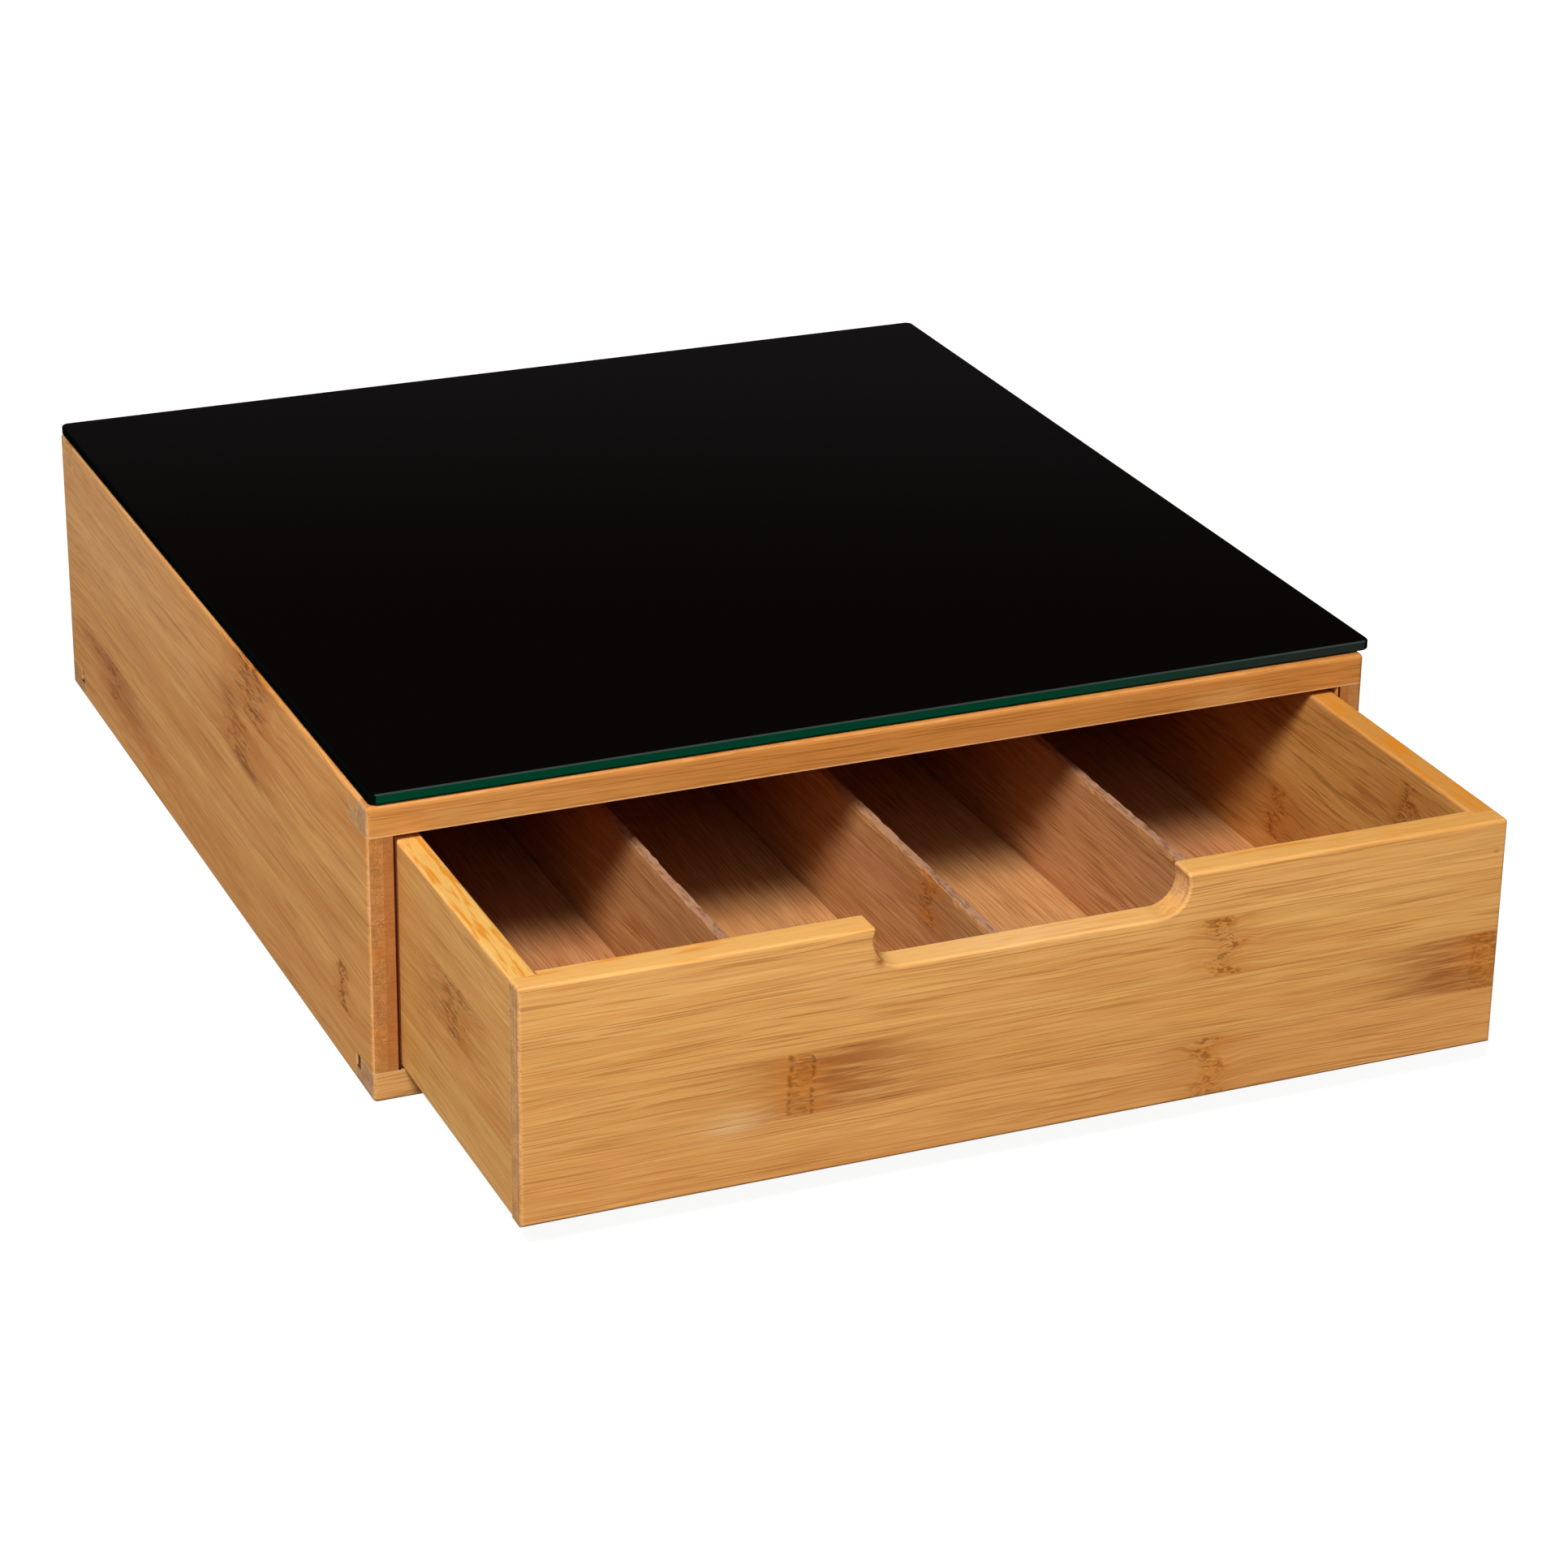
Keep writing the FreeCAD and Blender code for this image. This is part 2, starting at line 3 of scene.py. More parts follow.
import bpy
import numpy as np
from mathutils import Euler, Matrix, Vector


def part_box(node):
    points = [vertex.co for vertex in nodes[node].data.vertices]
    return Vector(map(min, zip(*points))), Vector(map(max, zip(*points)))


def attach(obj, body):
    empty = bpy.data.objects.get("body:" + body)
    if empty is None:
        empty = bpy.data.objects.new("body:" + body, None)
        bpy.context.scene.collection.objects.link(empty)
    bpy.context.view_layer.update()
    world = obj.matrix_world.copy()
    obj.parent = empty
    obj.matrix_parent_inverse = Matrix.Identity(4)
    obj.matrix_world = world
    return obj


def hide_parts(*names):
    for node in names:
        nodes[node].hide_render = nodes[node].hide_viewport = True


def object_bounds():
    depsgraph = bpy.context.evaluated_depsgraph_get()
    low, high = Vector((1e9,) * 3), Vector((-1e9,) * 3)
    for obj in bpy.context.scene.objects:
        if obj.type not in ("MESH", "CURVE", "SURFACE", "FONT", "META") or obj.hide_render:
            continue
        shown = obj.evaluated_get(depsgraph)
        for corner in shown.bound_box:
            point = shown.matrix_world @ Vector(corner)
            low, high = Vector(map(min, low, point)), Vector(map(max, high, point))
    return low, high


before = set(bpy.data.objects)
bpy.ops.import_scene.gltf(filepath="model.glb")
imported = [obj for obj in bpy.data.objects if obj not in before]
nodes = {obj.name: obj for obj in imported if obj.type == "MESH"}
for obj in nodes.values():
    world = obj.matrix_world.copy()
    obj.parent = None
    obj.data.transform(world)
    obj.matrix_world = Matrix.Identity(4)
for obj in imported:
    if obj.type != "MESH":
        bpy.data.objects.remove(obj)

cad_box = [list(corner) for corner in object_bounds()]


# Case side panels
# Boards of flat-pressed bamboo: strips glued edge to edge, grain front to back, sanded and
# lacquered satin. A notch at each corner lets the rails through, and the outer edges are eased.
def node(tree, kind, feeds=(), **settings):
    """Adds a shader node. feeds pairs its inputs with numbers, colours or sockets of other nodes."""
    made = tree.nodes.new("ShaderNode" + kind)
    for name, value in settings.items():
        setattr(made, name, value)
    for place, value in dict(feeds).items():
        if isinstance(value, bpy.types.NodeSocket):
            tree.links.new(value, made.inputs[place])
        else:
            made.inputs[place].default_value = value
    return made


def maths(tree, operation, *values, clamp=False):
    """The result of one sum on numbers or sockets."""
    return node(tree, "Math", enumerate(values), operation=operation, use_clamp=clamp).outputs[0]


def times(tree, first, *others):
    """The product of numbers or sockets."""
    for other in others:
        first = maths(tree, "MULTIPLY", first, other)
    return first


def plus(tree, first, *terms):
    """first, with each term added. A term (socket, middle, weight) adds weight * (socket - middle)."""
    total = first
    for socket, middle, weight in terms:
        share = times(tree, maths(tree, "SUBTRACT", socket, middle), weight)
        total = maths(tree, "ADD", total, share)
    return total


def rise(tree, value, low, high, bottom=0.0, top=1.0):
    """bottom where the value is under low, top where it is over high, and a smooth slope between."""
    feeds = enumerate((value, low, high, bottom, top))
    return node(tree, "MapRange", feeds, interpolation_type="SMOOTHSTEP").outputs[0]


def speckle(tree, place, spot, detail=0.0, warp=0.0):
    """Noise from 0 to 1 whose spots have the given length, breadth and depth in millimetres."""
    squeezed = node(tree, "VectorMath", {0: place, 1: [1 / s for s in spot]}, operation="MULTIPLY")
    feeds = {"Vector": squeezed.outputs[0], "Scale": 1.0, "Detail": detail, "Roughness": 0.55,
             "Distortion": warp}
    return node(tree, "TexNoise", feeds).outputs[0]


def tint(tree, amount, under, over, blend="MIX"):
    """The colour under with an amount of the colour over laid on it."""
    feeds = {0: amount, 6: under, 7: over}
    return node(tree, "Mix", feeds, data_type="RGBA", blend_type=blend).outputs[2]


def laid(tree, color, mask, amount, over):
    """The colour with an amount of another laid on it where the mask is."""
    return tint(tree, times(tree, mask, amount), color, over)


def seen(red, green, blue):
    """A colour as it is seen on a screen, 0 to 255, as the linear light that a shader takes."""
    share = np.array([red, green, blue]) / 255
    linear = np.where(share <= 0.04045, share / 12.92, ((share + 0.055) / 1.055) ** 2.4)
    return (*linear.tolist(), 1.0)


def new_group(name, takes, gives):
    """An empty node group. takes and gives list the (name, kind) of its inputs and outputs."""
    tree = bpy.data.node_groups.new(name, "ShaderNodeTree")
    for title, kind in takes:
        tree.interface.new_socket(title, in_out="INPUT", socket_type="NodeSocket" + kind)
    for title, kind in gives:
        tree.interface.new_socket(title, in_out="OUTPUT", socket_type="NodeSocket" + kind)
    return tree, tree.nodes.new("NodeGroupInput").outputs, tree.nodes.new("NodeGroupOutput").inputs


def place_group(tree, group, **feeds):
    """A node that holds the group. A feed's name is the socket's own, with _ for a space."""
    holder = node(tree, "Group")
    holder.node_tree = group
    for name, value in feeds.items():
        socket = holder.inputs[name.replace("_", " ")]
        if isinstance(value, bpy.types.NodeSocket):
            tree.links.new(value, socket)
        else:
            socket.default_value = value
    return holder.outputs


def make_pressed_bamboo():
    """Strips side by side, each with its own tone, and in each the fibres of the cane.

    The place is in millimetres: X along the grain, Y across the strips and Z through the board.
    A strip's number is the whole part of (Y - First seam) / Breadth, and chance shifts its fibres,
    its tone by an amount of Tone, and its hue between Rosy and Sallow. The fibres are noise drawn
    out along X, by Length times the usual, so a cut across the grain shows them as dots. They sway
    by about Wave millimetres, and Bend moves them sideways. Wisps are short dark tongues, stains
    long soft patches of old cane and dashes the dark ends of single fibres.
    """
    tree, takes, gives = new_group(
        "pressed bamboo",
        [("Place", "Vector"), ("Breadth", "Float"), ("First seam", "Float"), ("Seed", "Float"),
         ("Bend", "Float"), ("Cut end", "Float"), ("Contrast", "Float"), ("Tone", "Float"),
         ("Length", "Float"), ("Wave", "Float"), ("Wisps", "Float"), ("Stains", "Float"),
         ("Dashes", "Float"), ("Pale", "Color"), ("Deep", "Color"), ("Fibre", "Color"),
         ("Stain", "Color"), ("Rosy", "Color"), ("Sallow", "Color"), ("End", "Color")],
        [("Color", "Color"), ("Height", "Float")])
    x, across, z = node(tree, "SeparateXYZ", {0: takes["Place"]}).outputs
    row = maths(tree, "DIVIDE", maths(tree, "SUBTRACT", across, takes["First seam"]),
                takes["Breadth"])
    number = maths(tree, "FLOOR", row)
    into = maths(tree, "SUBTRACT", row, number)
    to_edge = maths(tree, "MINIMUM", into, maths(tree, "SUBTRACT", 1, into))
    to_seam = times(tree, to_edge, takes["Breadth"])
    seam = rise(tree, to_seam, 0.05, 0.3, 1, 0)
    key = node(tree, "CombineXYZ", {0: number, 1: takes["Seed"]}).outputs[0]
    chance = node(tree, "TexWhiteNoise", {0: key}, noise_dimensions="3D").outputs[1]
    tone, hue, _ = node(tree, "SeparateColor", {0: chance}).outputs
    sweep = speckle(tree, takes["Place"], (100, 18, 18))
    ripple = speckle(tree, takes["Place"], (24, 4.5, 4.5))
    bent = plus(tree, maths(tree, "ADD", across, takes["Bend"]),
                (sweep, 0.5, takes["Wave"]),
                (ripple, 0.5, maths(tree, "MULTIPLY_ADD", takes["Wave"], 0.2, 0.45)))
    drawn_out = maths(tree, "DIVIDE", x, takes["Length"])
    along_fibre = node(tree, "CombineXYZ", {0: drawn_out, 1: bent, 2: z}).outputs[0]
    shift = node(tree, "VectorMath", {0: chance, 1: (900, 70, 70)}, operation="MULTIPLY").outputs[0]
    own = node(tree, "VectorMath", {0: along_fibre, 1: shift}, operation="ADD").outputs[0]
    broad = speckle(tree, own, (60, 6, 6), detail=2.0)
    streak = speckle(tree, own, (30, 0.9, 0.9), detail=2.0)
    fine = speckle(tree, own, (14, 0.55, 0.55), detail=1.0)
    dash = rise(tree, speckle(tree, own, (20, 0.42, 0.42)), 0.54, 0.66)
    crowd = rise(tree, speckle(tree, own, (45, 4, 4)), 0.35, 0.65, 0.45, 1)
    dash = times(tree, dash, crowd)
    wisp = rise(tree, speckle(tree, own, (24, 1.4, 1.4), detail=2.0), 0.53, 0.66)
    stain = rise(tree, speckle(tree, own, (80, 9, 9), detail=3.0), 0.45, 0.72)
    bundle = node(tree, "VectorMath", {0: own, 1: (1 / 30, 1 / 0.5, 1 / 0.5)}, operation="MULTIPLY")
    pore = node(tree, "TexVoronoi", {"Vector": bundle.outputs[0], "Scale": 1.0}).outputs[0]
    dot = times(tree, rise(tree, pore, 0.12, 0.4, 1, 0), takes["Cut end"])
    grains = rise(tree, speckle(tree, takes["Place"], (3, 3, 3), detail=1.0), 0.42, 0.58)
    pale_dot = times(tree, dot, grains)
    dark_dot = maths(tree, "SUBTRACT", dot, pale_dot)
    swing = plus(tree, 0.0, (tone, 0.5, takes["Tone"]), (broad, 0.5, 1.3), (streak, 0.5, 1.5),
                 (fine, 0.5, 1.8))
    depth = maths(tree, "MULTIPLY_ADD", swing, takes["Contrast"], 0.45, clamp=True)
    color = tint(tree, depth, takes["Pale"], takes["Deep"])
    blush = tint(tree, hue, takes["Rosy"], takes["Sallow"])
    color = tint(tree, 1.0, color, blush, "MULTIPLY")
    cloud = rise(tree, speckle(tree, takes["Place"], (60, 5, 3.5), detail=2.0), 0.35, 0.65, 0.74, 1)
    end = tint(tree, cloud, (0, 0, 0, 1), takes["End"])
    color = laid(tree, color, takes["Cut end"], 0.85, end)
    layers = rise(tree, speckle(tree, takes["Place"], (200, 0.9, 5), detail=2.0), 0.42, 0.62)
    layers = times(tree, layers, takes["Cut end"])
    color = laid(tree, color, stain, takes["Stains"], takes["Stain"])
    for mask, weight in ((dash, takes["Dashes"]), (wisp, takes["Wisps"]), (seam, 0.22),
                         (dark_dot, 0.34), (layers, 0.2)):
        color = laid(tree, color, mask, weight, takes["Fibre"])
    color = laid(tree, color, pale_dot, 0.5, takes["Pale"])
    height = plus(tree, 0.6, (streak, 0.5, 0.3), (fine, 0.5, 0.5), (dash, 0, -0.3),
                  (seam, 0, -0.5), (dark_dot, 0, -0.4))
    tree.links.new(color, gives["Color"])
    tree.links.new(height, gives["Height"])
    return tree


def make_knuckle():
    """One joint of the cane, where a strip's fibres tangle.

    A line across the strip sways with noise, and away is the distance along the grain from it.
    Curls are warped noise within some millimetres of the line, cut to dark marks, and Spread draws
    them out along the grain. Rows are a dark line 3 mm before it, a line of dots 3 mm behind it and
    short dashes between the two. Haze and wisps are dark and pale streaks, as strong as Smoke, that
    fade as the bell curve exp(-((away - Lean) / Reach)^2). Tangle is the bell curve
    exp(-(away / (9 mm * Spread))^2). There the fibres of the board swirl, and Glow is its blotches.
    """
    tree, takes, gives = new_group(
        "cane knuckle",
        [("Place", "Vector"), ("Along", "Float"), ("Across", "Float"), ("Breadth", "Float"),
         ("Reach", "Float"), ("Sway", "Float"), ("Lean", "Float"), ("Rows", "Float"),
         ("Smoke", "Float"), ("Spread", "Float")],
        [("Marks", "Float"), ("Haze", "Float"), ("Wisps", "Float"), ("Glow", "Float"),
         ("Tangle", "Float")])
    place = takes["Place"]
    x, y, z = node(tree, "SeparateXYZ", {0: place}).outputs
    off = maths(tree, "ABSOLUTE", maths(tree, "SUBTRACT", y, takes["Across"]))
    half = times(tree, takes["Breadth"], 0.5)
    strip = rise(tree, maths(tree, "SUBTRACT", off, half), -0.6, 0.2, 1, 0)
    sway = speckle(tree, place, (300, 6, 6), detail=1.0)
    away = plus(tree, maths(tree, "SUBTRACT", x, takes["Along"]), (sway, 0.5, takes["Sway"]))
    gap = maths(tree, "ABSOLUTE", away)
    drawn_out = maths(tree, "DIVIDE", x, takes["Spread"])
    drawn_out = node(tree, "CombineXYZ", {0: drawn_out, 1: y, 2: z}).outputs[0]
    curl = rise(tree, speckle(tree, drawn_out, (3.4, 1.2, 1.2), detail=1.0, warp=1.5), 0.47, 0.6)
    thick = rise(tree, speckle(tree, drawn_out, (9, 3, 3)), 0.25, 0.75, 2.5, 8)
    thick = times(tree, thick, takes["Spread"])
    close = rise(tree, maths(tree, "DIVIDE", gap, thick), 0.3, 1, 1, 0)
    curl = times(tree, curl, close, maths(tree, "MULTIPLY_ADD", takes["Rows"], -0.75, 1))
    line = rise(tree, maths(tree, "ABSOLUTE", maths(tree, "ADD", away, 3.2)), 0.1, 1.2, 0.85, 0)
    broken = rise(tree, speckle(tree, place, (2, 1.6, 1.6)), 0.36, 0.54, 0.2, 1)
    line = times(tree, line, broken)
    dots = rise(tree, maths(tree, "ABSOLUTE", maths(tree, "SUBTRACT", away, 3.2)), 0.2, 1.1, 0.85, 0)
    dots = times(tree, dots, rise(tree, speckle(tree, place, (2, 0.9, 0.9)), 0.45, 0.55))
    dashes = rise(tree, speckle(tree, place, (2.6, 0.6, 0.6), warp=0.5), 0.54, 0.64, 0, 0.55)
    dashes = times(tree, dashes, rise(tree, gap, 2.4, 3.2, 1, 0))
    rows = maths(tree, "MAXIMUM", maths(tree, "MAXIMUM", line, dots), dashes)
    marks = maths(tree, "MAXIMUM", curl, times(tree, rows, takes["Rows"]))
    spread = maths(tree, "DIVIDE", maths(tree, "SUBTRACT", away, takes["Lean"]), takes["Reach"])
    bell = times(tree, maths(tree, "EXPONENT", times(tree, spread, spread, -1)), takes["Smoke"])
    smoke = speckle(tree, place, (22, 1.3, 1.3), detail=2.0, warp=0.4)
    haze = times(tree, bell, rise(tree, smoke, 0.36, 0.64, 0.4, 1.0))
    wisps = times(tree, bell, rise(tree, smoke, 0.34, 0.48, 1, 0))
    near = maths(tree, "DIVIDE", away, times(tree, takes["Spread"], 9))
    tangle = maths(tree, "EXPONENT", times(tree, near, near, -1))
    blotch = rise(tree, speckle(tree, place, (8, 3.2, 3.2), detail=2.0), 0.38, 0.6, 0.15, 1)
    glow = times(tree, tangle, blotch)
    for title, mask in (("Marks", marks), ("Haze", haze), ("Wisps", wisps), ("Glow", glow),
                        ("Tangle", tangle)):
        tree.links.new(times(tree, mask, strip), gives[title])
    return tree


def make_worn_lit_edge():
    """1 near the edges of a board's box and 0 elsewhere.

    The distances to the nearest face along X, Y and Z are sorted, and the middle one is small only
    near an edge. Noise makes the band wider and narrower. The band stands for the worn edges and
    for a painted highlight along them together.
    """
    tree, takes, gives = new_group(
        "worn and lit edge", [("Place", "Vector"), ("Low", "Vector"), ("High", "Vector"), ("Band", "Float")],
        [("Edge", "Float")])
    up = node(tree, "VectorMath", {0: takes["Place"], 1: takes["Low"]}, operation="SUBTRACT")
    down = node(tree, "VectorMath", {0: takes["High"], 1: takes["Place"]}, operation="SUBTRACT")
    near = node(tree, "VectorMath", {0: up.outputs[0], 1: down.outputs[0]}, operation="MINIMUM")
    x, y, z = node(tree, "SeparateXYZ", {0: near.outputs[0]}).outputs
    least = maths(tree, "MINIMUM", maths(tree, "MINIMUM", x, y), z)
    most = maths(tree, "MAXIMUM", maths(tree, "MAXIMUM", x, y), z)
    total = maths(tree, "ADD", maths(tree, "ADD", x, y), z)
    middle = maths(tree, "SUBTRACT", maths(tree, "SUBTRACT", total, least), most)
    uneven = speckle(tree, takes["Place"], (6, 6, 6), detail=2.0)
    band = times(tree, takes["Band"], maths(tree, "MULTIPLY_ADD", uneven, 1.6, 0.2))
    tree.links.new(rise(tree, maths(tree, "DIVIDE", middle, band), 0.2, 1, 1, 0), gives["Edge"])
    return tree


def make_blemish():
    """A soft oval spot, exp(-(dx / Length)^2 - (dy / Breadth)^2), broken up by noise."""
    tree, takes, gives = new_group(
        "blemish",
        [("Place", "Vector"), ("Along", "Float"), ("Across", "Float"), ("Length", "Float"),
         ("Breadth", "Float")],
        [("Spot", "Float")])
    x, y, _ = node(tree, "SeparateXYZ", {0: takes["Place"]}).outputs
    far = maths(tree, "DIVIDE", maths(tree, "SUBTRACT", x, takes["Along"]), takes["Length"])
    aside = maths(tree, "DIVIDE", maths(tree, "SUBTRACT", y, takes["Across"]), takes["Breadth"])
    square = maths(tree, "MULTIPLY_ADD", far, far, times(tree, aside, aside))
    bell = maths(tree, "EXPONENT", times(tree, square, -1))
    ragged = rise(tree, speckle(tree, takes["Place"], (12, 0.9, 0.9), detail=1.0), 0.3, 0.6, 0.3, 1)
    tree.links.new(times(tree, bell, ragged), gives["Spot"])
    return tree


PRESSED_BAMBOO = make_pressed_bamboo()
KNUCKLE = make_knuckle()
WORN_LIT_EDGE = make_worn_lit_edge()
BLEMISH = make_blemish()
PALE_CANE = seen(236, 184, 112)
DEEP_CANE = seen(204, 140, 74)
BROWN_FIBRE = seen(146, 84, 32)
ROSY = seen(255, 244, 238)
SALLOW = seen(255, 253, 244)
OLD_CANE = seen(206, 132, 52)
KNUCKLE_HAZE = seen(150, 84, 42)
KNUCKLE_GLOW = seen(206, 126, 44)
KNUCKLE_MARK = seen(114, 56, 8)
KNUCKLE_WISP = seen(240, 198, 138)
# Painted highlight colour, for the pale worn edges and the sides' outer arrises.
LIT_ARRIS = seen(238, 190, 136)
END_GRAIN = seen(234, 178, 120)
GOLD_EDGE = seen(227, 171, 96)
AMBER_FLECK = seen(218, 130, 20)
# Painted shade for the gap beside the drawer.
GAP_SHADE = seen(62, 22, 6)
# Painted shade for the inner faces of the notches.
NOTCH_SHADE = seen(88, 56, 26)
MILLIMETRE = 0.001
PLY_BLUR = 0.15
EDGE_BAND = 0.8


def knuckle(along, across, reach=20, sway=12, lean=0, rows=0.2, breadth=17.5, smoke=0.35, spread=1.0):
    """A knuckle's place and form in millimetres. rows and smoke are shares, and spread is a factor."""
    return {"Along": along, "Across": across, "Reach": reach, "Sway": sway, "Lean": lean, "Rows": rows,
            "Breadth": breadth, "Smoke": smoke, "Spread": spread}


def new_material(name):
    """A material, its node tree and its shader."""
    material = bpy.data.materials.new(name)
    material.use_nodes = True
    return material, material.node_tree, material.node_tree.nodes["Principled BSDF"]


def object_place(tree):
    """The place on a piece, in millimetres."""
    feeds = {0: node(tree, "TexCoord").outputs["Object"], 3: 1 / MILLIMETRE}
    return node(tree, "VectorMath", feeds, operation="SCALE").outputs[0]


def object_facing(tree):
    """How far the surface faces along X, Y and Z, each from -1 to 1."""
    return node(tree, "SeparateXYZ", {0: node(tree, "TexCoord").outputs["Normal"]}).outputs


def knuckle_masks(tree, place, knuckles):
    """The masks of all of a board's knuckles together, by name, or none if it has no knuckles."""
    masks = {}
    for form in knuckles:
        group = place_group(tree, KNUCKLE, Place=place, **form)
        for title in ("Marks", "Haze", "Wisps", "Glow", "Tangle"):
            if title in masks:
                masks[title] = maths(tree, "MAXIMUM", masks[title], group[title])
            else:
                masks[title] = group[title]
    return masks


def bamboo(name, order, strip, first_seam, seed, pale=PALE_CANE, deep=DEEP_CANE, contrast=0.5,
           tone=0.7, length=1.0, wave=2.6, wisps=0.06, stains=0.15, dashes=0.45, stain=OLD_CANE,
           rosy=ROSY, sallow=SALLOW, end=END_GRAIN, knuckles=(), knot=1.0, gold=0.0, top=GOLD_EDGE,
           fleck=AMBER_FLECK, patch=(26, 2.2, 2.2), amber=0.56, blemishes=(), joint=None, faces=(),
           edge=0.2, plies=(), roughness=0.5, sheen=0.05):
    """The finish of one board, named after its CAD node.

    order names the axes along the grain, across the strips and through the board, such as yzx.
    The values from strip, which is the strips' breadth, to end are the pressed bamboo's own. What
    lies on the wood comes next, in the order in which it is laid on. knot scales how dark the
    knuckles are. gold is how much of the colour top lies on the upward faces, with flecks as long,
    broad and deep as patch, and fewer where amber is higher. A blemish is (along, across, length,
    breadth, colour, amount). The cut ends nearer than joint to the middle of the board, the inner
    faces of a notch, are darkened as painted shade. faces gives the colour that multiplies each
    face pointing one way, such as ("z", 1, colour); on the bottom rails it is painted shade in the
    rebates. edge is how pale the edges are, as wear and a painted highlight together. A ply is
    (from, to, colour, amount): a band of the cut ends, between two depths through the board; on the
    drawer front the bands are glue lines, and on the case sides painted shade and a painted
    highlight. sheen is how strongly the lacquer mirrors.
    """
    material, tree, shader = new_material(name)
    scaled = object_place(tree)
    axes = dict(zip("xyz", node(tree, "SeparateXYZ", {0: scaled}).outputs))
    place = node(tree, "CombineXYZ", enumerate(axes[letter] for letter in order)).outputs[0]
    facing = dict(zip("xyz", object_facing(tree)))
    cut_end = rise(tree, maths(tree, "ABSOLUTE", facing[order[0]]), 0.5, 0.9)
    masks = knuckle_masks(tree, place, knuckles)
    bend = 0.0
    if masks:
        swirl = speckle(tree, place, (10, 7, 7))
        bend = plus(tree, 0.0, (swirl, 0.5, times(tree, masks["Tangle"], 8)))
    wood = place_group(tree, PRESSED_BAMBOO, Place=place, Breadth=strip, First_seam=first_seam,
                       Seed=seed, Bend=bend, Cut_end=cut_end, Contrast=contrast, Tone=tone,
                       Length=length, Wave=wave, Wisps=wisps, Stains=stains, Dashes=dashes,
                       Pale=pale, Deep=deep, Fibre=BROWN_FIBRE, Stain=stain, Rosy=rosy,
                       Sallow=sallow, End=end)
    color = wood["Color"]
    if masks:
        for title, weight, over in (("Wisps", 0.15, KNUCKLE_WISP), ("Haze", 0.6 * knot, KNUCKLE_HAZE),
                                    ("Glow", 0.6 * knot, KNUCKLE_GLOW),
                                    ("Marks", 0.75 * knot, KNUCKLE_MARK)):
            color = laid(tree, color, masks[title], weight, over)
    if gold:
        patchy = rise(tree, speckle(tree, place, patch, detail=2.0), amber - 0.05, amber + 0.1)
        flecked = laid(tree, top, patchy, 0.85, fleck)
        color = laid(tree, color, rise(tree, facing["z"], 0.4, 0.9), gold, flecked)
    for along, across, reach, breadth, over, amount in blemishes:
        spot = place_group(tree, BLEMISH, Place=place, Along=along, Across=across, Length=reach,
                           Breadth=breadth)["Spot"]
        color = laid(tree, color, spot, amount, over)
    # Painted shade: the notches' inner cut faces are darkened.
    if joint:
        inner = rise(tree, maths(tree, "ABSOLUTE", axes[order[0]]), joint, joint + 1, 1, 0)
        color = laid(tree, color, inner, cut_end, NOTCH_SHADE)
    for letter, way, over in faces:
        turned = rise(tree, times(tree, facing[letter], way), 0.4, 0.9)
        color = tint(tree, turned, color, over, "MULTIPLY")
    low, high = ([v / MILLIMETRE for v in corner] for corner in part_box(name))
    # The pale edges are wear and a painted highlight together.
    worn = place_group(tree, WORN_LIT_EDGE, Place=scaled, Low=low, High=high, Band=EDGE_BAND)["Edge"]
    color = laid(tree, color, worn, edge, LIT_ARRIS)
    for near, far, over, amount in plies:
        depth = axes[order[2]]
        past_near = rise(tree, depth, near - PLY_BLUR, near + PLY_BLUR)
        before_far = rise(tree, depth, far - PLY_BLUR, far + PLY_BLUR, 1, 0)
        color = laid(tree, color, times(tree, past_near, before_far, cut_end), amount, over)
    tree.links.new(color, shader.inputs["Base Color"])
    rough = plus(tree, roughness, (wood["Height"], 0.6, -0.25), (worn, 0, 0.08), (cut_end, 0, 0.12))
    tree.links.new(rough, shader.inputs["Roughness"])
    bump = node(tree, "Bump", {"Strength": 0.35, "Distance": 0.0002, "Height": wood["Height"]})
    tree.links.new(bump.outputs[0], shader.inputs["Normal"])
    shader.inputs["Specular IOR Level"].default_value = sheen
    return material


def finish(node_name, material):
    """Makes this material the CAD node's only one."""
    mesh = nodes[node_name].data
    mesh.materials.clear()
    mesh.materials.append(material)


SIDE_STRIP = 17.5
SIDE_SEAM = 0.5
SIDE_PALE = seen(241, 183, 110)
SIDE_DEEP = seen(190, 123, 62)
SIDE_BLEACHED = seen(236, 188, 134)
SIDE_END = seen(176, 120, 70)
SIDE_STAIN = seen(196, 122, 50)
SIDE_STREAK = seen(140, 76, 26)
# Painted shade on the inner half of the sides' front ends, next to the drawer gap.
GAP_SIDE_SHADE = seen(160, 92, 42)
SIDE_NOTCH = 146
LEFT_SIDE_KNUCKLES = [knuckle(-54, 79, reach=26, sway=10, breadth=19, smoke=0.5, spread=3.0),
                      knuckle(-40, 59.5, reach=28, breadth=14, smoke=0.6, spread=3.0),
                      knuckle(106, 21, reach=28, sway=14, lean=-6, breadth=14, smoke=1.0, spread=2.0),
                      knuckle(-135, 24, reach=14, breadth=15, smoke=0.1)]
LEFT_SIDE_BLEMISHES = [(110, 72, 90, 24, SIDE_BLEACHED, 0.4), (-30, 69, 9, 3.6, SIDE_STREAK, 1.0),
                       (-48, 52.5, 15, 1.5, SIDE_STREAK, 0.9), (-46, 64, 28, 8, SIDE_STAIN, 0.5),
                       (126, 25, 22, 2.2, SIDE_STREAK, 0.9), (72, 14, 34, 4.5, SIDE_STAIN, 1.0),
                       (88, 18, 20, 3, SIDE_STREAK, 0.7),
                       (20, 12, 130, 11, SIDE_STAIN, 0.6), (10, 38, 90, 5, SIDE_STAIN, 0.35)]
